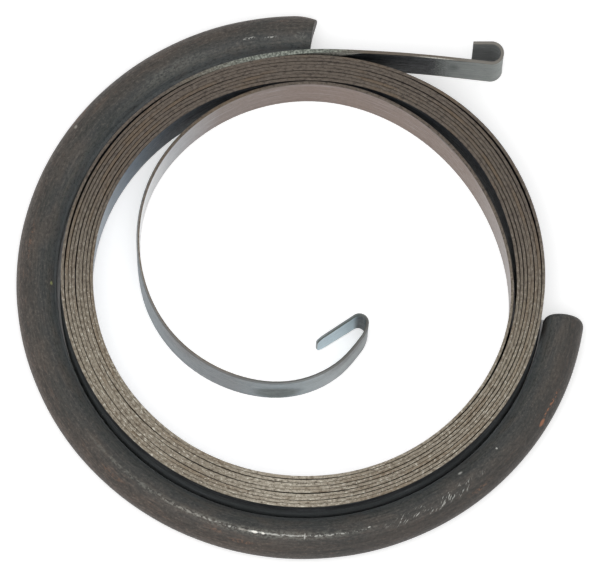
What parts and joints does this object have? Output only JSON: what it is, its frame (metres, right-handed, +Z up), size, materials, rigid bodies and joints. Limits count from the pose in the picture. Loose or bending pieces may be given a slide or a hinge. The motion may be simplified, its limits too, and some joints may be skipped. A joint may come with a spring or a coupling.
{
  "type": "recoil starter spring",
  "caption": "Flat steel spiral spring on edge with an outer hook, a free inner turn and an inner hook, held wound by an open ring of dark round bar.",
  "frame": {"origin": "centre of the wound coil, on the surface that the coil and the ring lie on", "axes": "+Z up along the coil's axis, +X along the tail towards the outer hook, +Y from the coil's centre towards the tail"},
  "size_m": [0.1053, 0.1054, 0.01],
  "materials": {
    "spring_steel": "worn spring steel, brown on its edges and grey blue on its faces",
    "dark_steel": "dark mill scale with scuffs and a little rust"
  },
  "bodies": {
    "root": {"spring_strip": "spring_steel", "retainer_ring": "dark_steel"}
  },
  "joints": []
}
